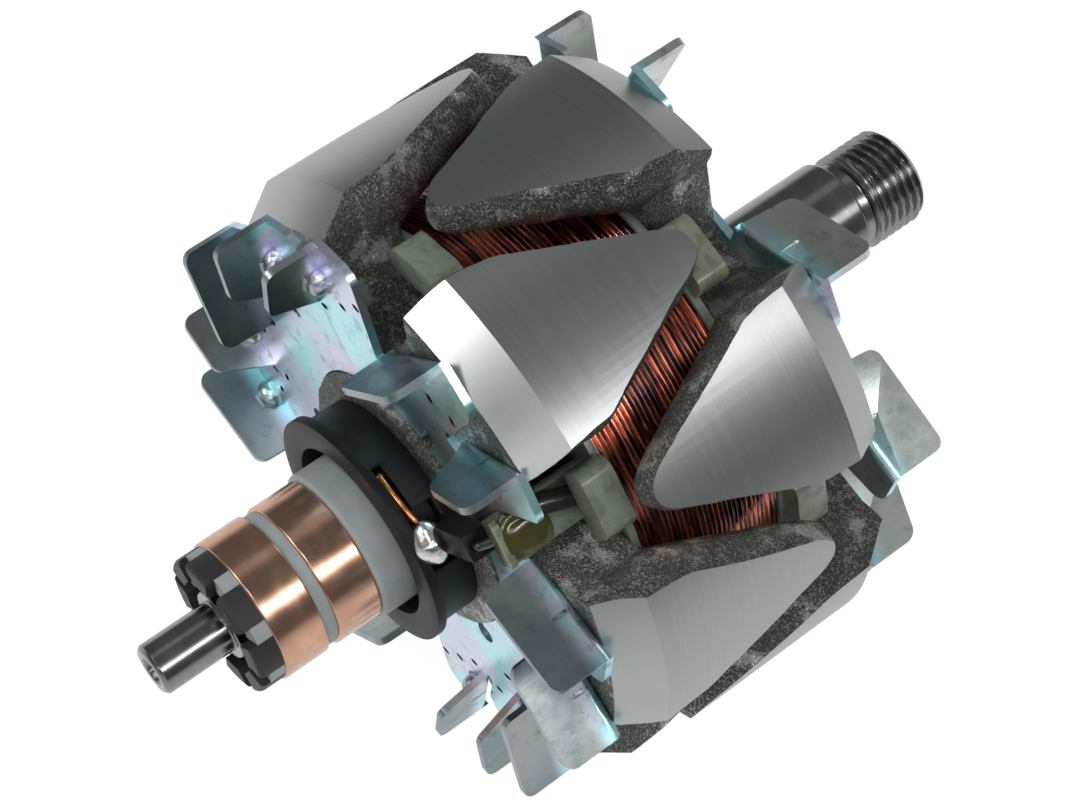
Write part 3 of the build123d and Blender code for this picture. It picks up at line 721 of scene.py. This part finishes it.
angles, rows = shaft_rows()
shaft = link_mesh("turned_shaft", outward(turned_grid("turned_shaft", angles, rows)))
sharpen(shaft.data, 32)
ground_steel = turned_material("ground steel", (0.34, 0.35, 0.35), 0.12, 9.0, 0.000006)
dress(shaft, "ground_steel", ground_steel, "rotor_shaft")
print("shaft faces:", len(shaft.data.polygons))

# %% [markdown]
# ## Field coil
# The coil is one long wire, laid side by side in a helix. Its surface is a row of half-round
# ridges. A few turns sit higher or lean over, as hand-guided wire does, and varnish joins them.

# %% Winding
coil_from, coil_to = -54.5, -31.5
coil_top_r, coil_bottom_r = 37.5, 27.3
turn_count = 29
wire_depth = 0.46
varnish_drop = 0.16
wire_lift = 0.28
wire_sway = 0.35


def wire_rows():
    """Rows across the winding: for each angle, the radius over round wires side by side."""
    angles = np.linspace(0, 2 * math.pi, 360, endpoint=False)
    pitch = (coil_to - coil_from) / turn_count
    steps = turn_count * 6 + 1
    rows = [(coil_from, coil_bottom_r + 0 * angles)]
    sway = np.array([
        noise.noise(Vector((math.cos(a) * 1.7, math.sin(a) * 1.7, 4.0))) for a in angles
    ])
    for place in np.linspace(coil_from, coil_to, steps):
        turn = (place - coil_from) / pitch
        shifted = turn + angles / (2 * math.pi) + wire_sway * sway
        number = np.floor(shifted)
        across = (shifted - number - 0.5) * 2
        wire = wire_depth * np.sqrt(np.clip(1 - across * across, 0, 1)) - wire_depth
        lift = np.array([
            noise.noise(Vector((float(n) * 0.37, math.cos(a) * 1.1, math.sin(a) * 1.1)))
            for n, a in zip(number, angles)
        ])
        rows.append((place, coil_top_r - varnish_drop + wire + wire_lift * lift))
    rows.append((coil_to, coil_bottom_r + 0 * angles))
    return angles, rows


def winding_material():
    """Enamelled wire under varnish; the tone changes from one turn to the next."""
    material, tree, shader = principled(
        "enamelled wire", Metallic=0.9, Roughness=0.2, Coat_Weight=0.8, Coat_Roughness=0.06
    )
    place = use_group(tree, axis_group)
    turns_per_mm = turn_count / (coil_to - coil_from)
    turn = math_node(tree, "MULTIPLY", place.outputs["Place mm"], turns_per_mm)
    parts = tree.nodes.new("ShaderNodeCombineXYZ")
    tree.links.new(turn, parts.inputs[0])
    tree.links.new(math_node(tree, "MULTIPLY", place.outputs["Arc mm"], 0.12), parts.inputs[1])
    tone = noise_node(tree, parts.outputs[0], 0.8, 3.0, 0.6)
    pool = noise_node(tree, place.outputs["Vector mm"], 0.16, 4.0, 0.6)
    tone = map_range(tree, tone, 0.42, 0.60)
    wire = mix_colour(tree, tone, (0.060, 0.008, 0.006), (0.60, 0.17, 0.10))
    pooled = map_range(tree, pool, 0.54, 0.70, 0.0, 0.8)
    varnished = mix_colour(tree, pooled, wire, (0.055, 0.016, 0.010))
    tree.links.new(varnished, shader.inputs["Base Color"])
    normal = bump_node(tree, pool, 0.0002, 0.5)
    tree.links.new(normal, shader.inputs["Normal"])
    return material


angles, rows = wire_rows()
winding = link_mesh("wound_coil", outward(turned_grid("wound_coil", angles, rows, True)))
sharpen(winding.data, 75)
dress(winding, "enamelled_copper", winding_material(), "field_coil")
print("winding faces:", len(winding.data.polygons))

# %% [markdown]
# ## Pieces with softened edges
# Stamped, moulded and turned pieces keep the CAD shape. Each one gets its own material, and most
# get small rounded edges, so that every edge catches a thin line of light.

# %% Softened copies
bevel_from, sharp_from = 30, 38


def softened(name, node, width):
    """Copy of a CAD piece with its points joined and its edges rounded by this width in mm."""
    mesh = nodes[node].data.copy()
    mesh.materials.clear()
    work = bmesh.new()
    work.from_mesh(mesh)
    bmesh.ops.remove_doubles(work, verts=work.verts, dist=2e-6)
    work.to_mesh(mesh)
    work.free()
    mesh.normals_split_custom_set([(0, 0, 0)] * len(mesh.loops))
    piece = link_mesh(name, mesh)
    if width:
        with_modifier(
            piece, "BEVEL", width=width * mm, segments=2, limit_method="ANGLE",
            angle_limit=math.radians(bevel_from), use_clamp_overlap=True,
        )
    sharpen(piece.data, sharp_from)
    print(name, "faces", len(piece.data.polygons))
    return piece


def plated_material():
    """Zinc plating with its thin passivation film, which drifts between blue, lilac and grey; the
    flat sheet is lighter as a painted reflection, the rear blades darker as painted shade.
    """
    material, tree, shader = principled("plated sheet", Metallic=1.0)
    place = use_group(tree, axis_group)
    vector = place.outputs["Vector mm"]
    film = noise_node(tree, vector, 0.075, 3.0, 0.5, 0.6)
    stain = noise_node(tree, vector, 0.30, 6.0, 0.65)
    grain = noise_node(tree, vector, 5.0, 3.0, 0.6)
    from_middle = math_node(tree, "SUBTRACT", place.outputs["Place mm"], poles_middle)
    away = math_node(tree, "SUBTRACT", math_node(tree, "ABSOLUTE", from_middle), pole_half)
    # Painted reflection and shade: the flat sheet gets a light colour and the rear blades a dark
    # one, though both are the same plating.
    on_blade = map_range(tree, away, 1.4, 4.5)
    on_sheet = map_range(tree, film, 0.42, 0.60)
    sheet = mix_colour(tree, on_sheet, (0.56, 0.95, 1.0), (0.78, 0.80, 0.94))
    film = map_range(tree, film, 0.40, 0.62)
    blade = mix_colour(tree, film, (0.24, 0.31, 0.33), (0.37, 0.40, 0.40))
    drive_blade = mix_colour(tree, film, (0.62, 0.69, 0.64), (0.76, 0.80, 0.75))
    at_drive = math_node(tree, "GREATER_THAN", place.outputs["Place mm"], poles_middle)
    blade = mix_colour(tree, at_drive, blade, drive_blade)
    colour = mix_colour(tree, on_blade, sheet, blade)
    stained = map_range(tree, stain, 0.52, 0.74, 0.0, 0.6)
    colour = mix_colour(tree, stained, colour, (0.12, 0.17, 0.19))
    tree.links.new(colour, shader.inputs["Base Color"])
    rough = math_node(tree, "MULTIPLY_ADD", stain, 0.22, 0.20)
    tree.links.new(rough, shader.inputs["Roughness"])
    normal = bump_node(tree, stain, 0.00012, 0.35)
    normal = bump_node(tree, grain, 0.00002, 0.4, normal)
    tree.links.new(normal, shader.inputs["Normal"])
    return material


def nylon_material():
    """Pale nylon, stained with olive varnish that ran down and pooled at the lead guides."""
    material, tree, shader = principled(
        "varnished nylon", Roughness=0.35, Subsurface_Weight=0.25, Subsurface_Scale=0.001,
        Coat_Weight=0.4, Coat_Roughness=0.15,
    )
    place = use_group(tree, axis_group)
    vector = place.outputs["Vector mm"]
    runs = noise_node(tree, vector, 0.33, 5.0, 0.6, 0.8)
    fine = noise_node(tree, vector, 2.6, 4.0, 0.6)
    stained = map_range(tree, runs, 0.46, 0.64)
    beyond = map_range(tree, place.outputs["Place mm"], -69.0, -68.0, 1.0, 0.0)
    within = map_range(tree, place.outputs["Radius mm"], 33.7, 34.2, 1.0, 0.0)
    tray = math_node(tree, "MULTIPLY", beyond, within)
    amount = math_node(tree, "MAXIMUM", math_node(tree, "MULTIPLY", stained, 0.4), tray)
    pale = mix_colour(tree, fine, (0.22, 0.27, 0.20), (0.30, 0.36, 0.28))
    colour = mix_colour(tree, amount, pale, (0.075, 0.070, 0.018))
    tree.links.new(colour, shader.inputs["Base Color"])
    tree.links.new(bump_node(tree, runs, 0.0003, 0.4), shader.inputs["Normal"])
    return material


cap_notch_floor = -101.5
cap_notches = 8


def moulded_material(name, pale, dark, rough, dark_from=None):
    """Moulded plastic with a fine grain; dark_from is the place where the dark end cap starts."""
    material, tree, shader = principled(name, Roughness=rough, Specular_IOR_Level=0.22)
    place = use_group(tree, axis_group)
    vector = place.outputs["Vector mm"]
    cloud = noise_node(tree, vector, 0.4, 5.0, 0.6)
    grain = noise_node(tree, vector, 3.2, 5.0, 0.7)
    shade = mix_colour(tree, map_range(tree, cloud, 0.3, 0.7), dark, pale)
    if dark_from is not None:
        cap = map_range(tree, place.outputs["Place mm"], dark_from - 0.05, dark_from, 1.0, 0.0)
        turn = math_node(tree, "DIVIDE", place.outputs["Arc mm"], place.outputs["Radius mm"])
        phase = math_node(tree, "MULTIPLY", turn, cap_notches / 2)
        wave = math_node(tree, "ABSOLUTE", math_node(tree, "SINE", phase))
        in_notch = math_node(
            tree, "MULTIPLY", math_node(tree, "LESS_THAN", wave, 0.46),
            math_node(tree, "GREATER_THAN", place.outputs["Place mm"], cap_notch_floor - 0.05),
        )
        cap = math_node(tree, "MULTIPLY", cap, math_node(tree, "SUBTRACT", 1.0, in_notch))
        shade = mix_colour(tree, cap, shade, (0.045, 0.045, 0.043))
    tree.links.new(shade, shader.inputs["Base Color"])
    uneven = math_node(tree, "MULTIPLY_ADD", grain, 0.2, rough - 0.08)
    tree.links.new(uneven, shader.inputs["Roughness"])
    normal = bump_node(tree, grain, 0.00006, 0.6)
    tree.links.new(normal, shader.inputs["Normal"])
    return material


plated = plated_material()
nylon = nylon_material()
grey_plastic = moulded_material(
    "grey moulding", (0.46, 0.50, 0.50), (0.41, 0.45, 0.45), 0.42, dark_from=-99.0
)
black_plastic = moulded_material(
    "black moulding", (0.013, 0.013, 0.0125), (0.007, 0.007, 0.007), 0.42
)
for name, node, width, slot_name, material in (
    ("moulded_bobbin", "coil_bobbin", 0.2, "bobbin_nylon", nylon),
    ("ring_moulding", "slip_ring_moulding", 0.0, "grey_moulding", grey_plastic),
    ("moulded_collar", "lead_collar", 0.18, "black_moulding", black_plastic),
):
    dress(softened(name, node, width), slot_name, material, node)

# %% [markdown]
# ## Fans
# A press bends each blade up from the sheet. A rib is stamped into every bend, which leaves a
# rounded hump inside and a short groove outside. Welding marks the sheet with small oval dents.

# %% Fans
fan_sheet = 1.2
fan_mid_r = 40.4
long_tilt, short_tilt, front_tilt = 41.0, 31.0, 44.0
rear_blades = [(angle, long_tilt) for angle in (88.0, 29.5, 5.5, -28.0, -94.0, -152.0, 163.0)]
rear_blades += [
    (angle, short_tilt) for angle in (64.0, -46.0, -63.5, -120.0, -172.0, 141.0, 121.0)
]
hump_place, hump_sizes = 1.9, (1.85, 1.85, 2.3)
groove_sizes, weld_sizes = (0.45, 1.7, 0.42), (0.85, 0.42, 0.5)
weld_places = ((6.4, -1.5), (9.6, 2.2), (12.6, -2.0))
weld_from_r, weld_to_r = 26.0, 43.0
front_blades = [
    (angle, front_tilt)
    for angle in (-180.0, 148.0, 117.0, 65.5, 24.5, -10.0, -45.0, -77.0, -112.0, -146.0)
]


def bend_axes(angle, tilt, side):
    """Foot of a blade's bend and its three directions: into the sheet, away, and along it."""
    foot = on_axis(fan_mid_r, angle, poles_middle + side * pole_half)
    along_bend = on_axis(1, angle - tilt, 0) / mm
    away = Vector((0, side, 0))
    inward = along_bend.cross(away) * -side
    return foot, inward, away, along_bend


def lump(work, middle, axes, sizes, rings):
    """Adds an ellipsoid with these half sizes in mm along three directions."""
    made = bmesh.ops.create_uvsphere(work, u_segments=rings * 2, v_segments=rings, radius=1.0)
    for vert in made["verts"]:
        shape = sum(
            (axis * (size * share) for axis, size, share in zip(axes, sizes, vert.co)), Vector()
        )
        vert.co = middle + shape * mm


def stamped_fan(name, node, blades, side):
    """Fan with its humps, grooves and weld dents."""
    fan = softened(name, node, 0.0)
    humps, dents = bmesh.new(), bmesh.new()
    for angle, tilt in blades:
        foot, *axes = bend_axes(angle, tilt, side)
        inward, away, along_bend = axes
        lump(humps, foot + (inward + away) * hump_place * mm, axes, hump_sizes, 12)
        lump(dents, foot + (inward * 0.1 + away * 2.3) * mm, axes, groove_sizes, 8)
        for across, run in weld_places:
            spot = foot + (inward * across + away * (fan_sheet + 0.1) + along_bend * run) * mm
            radius = math.hypot(spot.x, spot.z) / mm
            if weld_from_r < radius < weld_to_r:
                lump(dents, spot, axes, weld_sizes, 8)
    for label, work, operation in (("humps", humps, "UNION"), ("dents", dents, "DIFFERENCE")):
        mesh = bpy.data.meshes.new(label)
        work.to_mesh(mesh)
        work.free()
        tool = link_mesh(name + " " + label, mesh)
        with_modifier(fan, "BOOLEAN", operation=operation, object=tool, solver="MANIFOLD")
        bpy.data.objects.remove(tool)
    with_modifier(
        fan, "BEVEL", width=0.14 * mm, segments=2, limit_method="ANGLE",
        angle_limit=math.radians(48), use_clamp_overlap=True,
    )
    fan.data.polygons.foreach_set("use_smooth", [True] * len(fan.data.polygons))
    sharpen(fan.data, 35)
    dress(fan, "plated_sheet", plated, node)
    print(name, "faces", len(fan.data.polygons))


stamped_fan("stamped_fan_rear", "fan_rear", rear_blades, -1)
stamped_fan("stamped_fan_front", "fan_front", front_blades, 1)

# %% [markdown]
# ## Slip rings
# Brushes run on these rings, so their faces carry the finest lines and shine the most.

# %% Slip rings
ring_r = 11.35
ring_bore_r = 9.75


def slip_ring(name, start, end):
    """Ring with softened edges between two places; the start is nearer the drive end."""
    edge = 0.25
    profile = [
        (ring_bore_r, start), (ring_r - edge, start), (ring_r - edge * 0.3, start - edge * 0.3),
        (ring_r, start - edge), (ring_r, start - edge - 0.1), (ring_r, end + edge + 0.1),
        (ring_r, end + edge), (ring_r - edge * 0.3, end + edge * 0.3),
        (ring_r - edge, end), (ring_bore_r, end),
    ]
    piece = link_mesh(name, outward(spun(name, profile, 200)))
    sharpen(piece.data, 50)
    return piece


ring_copper = turned_material("turned copper", (0.80, 0.48, 0.34), 0.13, 22.0, 0.000006)
dress(slip_ring("outer_ring", -91.7, -99.0), "ring_copper", ring_copper, "slip_ring_outer")
dress(slip_ring("inner_ring", -82.5, -89.8), "ring_copper", ring_copper, "slip_ring_inner")

# %% [markdown]
# ## Leads and solder
# Each end of the field winding runs in a sleeve over the fan, then down an arm of the collar to
# a blob of solder, where it meets the conductor of one ring.

# %% Leads and solder
lead_angles = {"a": 45.0, "b": 225.0}
solder_place = -75.2
solder_r = 18.2
solder_half = (3.5, 2.6, 2.7)
pool_place = -67.4
pool_r = 33.8
pool_half = (3.55, 3.85, 1.0)
lead_wire_r = 0.7
sleeve_r, sleeve_bore_r = 1.6, 0.85
sleeve_steps = slice(8, 37)


def solder_blob(name, angle, seed):
    """Solder that wetted two wires: a smooth uneven drop."""
    work = bmesh.new()
    bmesh.ops.create_icosphere(work, subdivisions=5, radius=1.0)
    middle = on_axis(solder_r, angle, solder_place)
    outward_way = on_axis(1, angle, 0) / mm
    round_way = outward_way.cross(Vector((0, 1, 0)))
    for vert in work.verts:
        across, along_axis, rise = vert.co
        swell = 1 + 0.10 * noise.noise(vert.co * 1.1 + Vector((seed, 0, 0)))
        pull = 1 - 0.12 * max(across, 0)
        vert.co = middle + (
            round_way * across * solder_half[0]
            + Vector((0, along_axis * solder_half[1] * pull, 0))
            + outward_way * rise * solder_half[2] * pull
        ) * swell * mm
    mesh = bpy.data.meshes.new(name)
    work.to_mesh(mesh)
    work.free()
    return link_mesh(name, mesh)


def solder_material():
    """Bright solder with a faintly uneven skin."""
    material, tree, shader = principled("bright solder", Metallic=1.0, Roughness=0.2)
    place = use_group(tree, axis_group)
    flow = noise_node(tree, place.outputs["Vector mm"], 0.9, 3.0, 0.5)
    tree.links.new(
        mix_colour(tree, flow, (0.60, 0.58, 0.55), (0.86, 0.85, 0.82)),
        shader.inputs["Base Color"],
    )
    tree.links.new(bump_node(tree, flow, 0.0003, 0.3), shader.inputs["Normal"])
    return material


def wire_material(name, colour, dark, metallic, rough):
    """Wire or tubing under a clear coat, in two tones."""
    material, tree, shader = principled(name, Metallic=metallic, Roughness=rough, Coat_Weight=0.5)
    place = use_group(tree, axis_group)
    tone = noise_node(tree, place.outputs["Vector mm"], 0.8, 4.0, 0.6)
    tree.links.new(
        mix_colour(tree, map_range(tree, tone, 0.35, 0.65), dark, colour),
        shader.inputs["Base Color"],
    )
    tree.links.new(bump_node(tree, tone, 0.00005, 0.5), shader.inputs["Normal"])
    return material


solder = solder_material()
bare_copper = wire_material("bare copper", (0.85, 0.36, 0.12), (0.50, 0.17, 0.05), 0.9, 0.25)
lead_enamel = wire_material(
    "lead enamel", (0.012, 0.010, 0.009), (0.006, 0.005, 0.005), 0.0, 0.35
)
sleeving = wire_material(
    "varnished sleeving", (0.022, 0.021, 0.019), (0.008, 0.008, 0.008), 0.0, 0.3
)
for letter, seed in (("a", 1.0), ("b", 5.0)):
    drop = solder_blob("solder_drop_" + letter, lead_angles[letter], seed)
    dress(drop, "solder", solder, "solder_joint_" + letter)


def smooth_path(stops, steps=10):
    """Points on a smooth curve through stops of (radius, angle, place), all in mm and degrees."""
    points = [on_axis(*stop) for stop in stops]
    ends = [points[0] * 2 - points[1]] + points + [points[-1] * 2 - points[-2]]
    path = []
    for a, b, c, d in zip(ends, ends[1:], ends[2:], ends[3:]):
        for step in range(steps):
            u = step / steps
            path.append(0.5 * (
                2 * b + (c - a) * u + (2 * a - 5 * b + 4 * c - d) * u * u
                + (3 * b - a - 3 * c + d) * u * u * u
            ))
    return path + [points[-1]]


def tube(name, path, outer_r, bore_r=0.0):
    """Round wire or sleeve along a path, in mm; a bore makes it hollow."""
    rows, sides = [], 28
    side_way = Vector((0, 1, 0)).cross(path[1] - path[0]).normalized()
    if side_way.length < 0.5:
        side_way = Vector((1, 0, 0))
    for index, point in enumerate(path):
        before, after = path[max(index - 1, 0)], path[min(index + 1, len(path) - 1)]
        ahead = (after - before).normalized()
        side_way = (side_way - ahead * side_way.dot(ahead)).normalized()
        other_way = ahead.cross(side_way)
        rows.append((point, ahead, side_way, other_way))

    def ring(row, radius, shift=0.0):
        """Points round the path at one row, moved along it by shift."""
        point, ahead, first, second = row
        return [
            point + ahead * shift * mm
            + (first * math.cos(a) + second * math.sin(a)) * radius * mm
            for a in np.linspace(0, 2 * math.pi, sides, endpoint=False)
        ]

    edge = 0.12
    grid = [ring(rows[0], bore_r), ring(rows[0], outer_r - edge)]
    grid += [ring(rows[0], outer_r, edge)] + [ring(row, outer_r) for row in rows[1:-1]]
    grid += [ring(rows[-1], outer_r, -edge), ring(rows[-1], outer_r - edge)]
    grid += [ring(rows[-1], bore_r)]
    if bore_r:
        grid += [ring(row, bore_r) for row in rows[-2:0:-1]]
    points = np.array(grid)
    piece = link_mesh(name, outward(surface_of_rows(name, points, closed_rows=bore_r > 0)))
    sharpen(piece.data, 50)
    return piece


def varnish_pool(name, angle, seed):
    """Varnish that set in the tray of a lead guide."""
    work = bmesh.new()
    bmesh.ops.create_icosphere(work, subdivisions=5, radius=1.0)
    outward_way = on_axis(1, angle, 0) / mm
    round_way = outward_way.cross(Vector((0, 1, 0)))
    middle = on_axis(pool_r, angle, pool_place)
    for vert in work.verts:
        share = [math.copysign(abs(v) ** 0.6, v) for v in vert.co]
        wave = noise.noise(vert.co * 1.6 + Vector((seed, 0, 0)))
        vert.co = middle + (
            round_way * share[0] * (pool_half[0] + 0.3 * wave)
            + Vector((0, share[1] * pool_half[1], 0))
            + outward_way * share[2] * (pool_half[2] + 0.28 * wave)
        ) * mm
    mesh = bpy.data.meshes.new(name)
    work.to_mesh(mesh)
    work.free()
    return link_mesh(name, mesh)


def varnish_material():
    """Olive varnish that light passes a little way into."""
    material, tree, shader = principled(
        "set varnish", Roughness=0.12, IOR=1.5, Transmission_Weight=0.25, Coat_Weight=0.6
    )
    place = use_group(tree, axis_group)
    cloud = noise_node(tree, place.outputs["Vector mm"], 0.7, 4.0, 0.6)
    tree.links.new(
        mix_colour(tree, cloud, (0.060, 0.056, 0.006), (0.13, 0.12, 0.022)),
        shader.inputs["Base Color"],
    )
    tree.links.new(bump_node(tree, cloud, 0.0002, 0.4), shader.inputs["Normal"])
    return material


varnish = varnish_material()
for letter, lean in (("a", 4.6), ("b", -3.0)):
    angle = lead_angles[letter]
    stops = [
        (35.0, angle, -54.6), (35.0, angle, -57.0), (35.05, angle + lean * 0.4, -60.5),
        (35.1, angle + lean, -65.4), (33.8, angle + lean * 0.8, -66.8),
        (33.0, angle + lean * 0.5, -68.6),
        (31.4, angle + 0.6, -70.7), (29.6, angle, -72.3), (28.4, angle, -72.8),
        (22.0, angle, -72.8), (16.8, angle, -72.8),
    ]
    path = smooth_path(stops)
    lead = tube("round_lead_" + letter, path, lead_wire_r)
    dress(lead, "enamelled_copper", lead_enamel, "lead_wire_" + letter)
    sleeve = tube("cut_sleeve_" + letter, path[sleeve_steps], sleeve_r, sleeve_bore_r)
    dress(sleeve, "sleeving", sleeving, "lead_sleeve_" + letter)
    dress(varnish_pool("varnish_pool_" + letter, angle, 3.0 + angle), "bobbin_nylon", varnish)
for ring in ("outer", "inner"):
    node = "ring_conductor_" + ring
    dress(softened("welded_conductor_" + ring, node, 0.0), "bare_copper", bare_copper, node)
core = nodes["pole_core"]
core.data.materials.clear()
core.data.materials.append(steel_material)
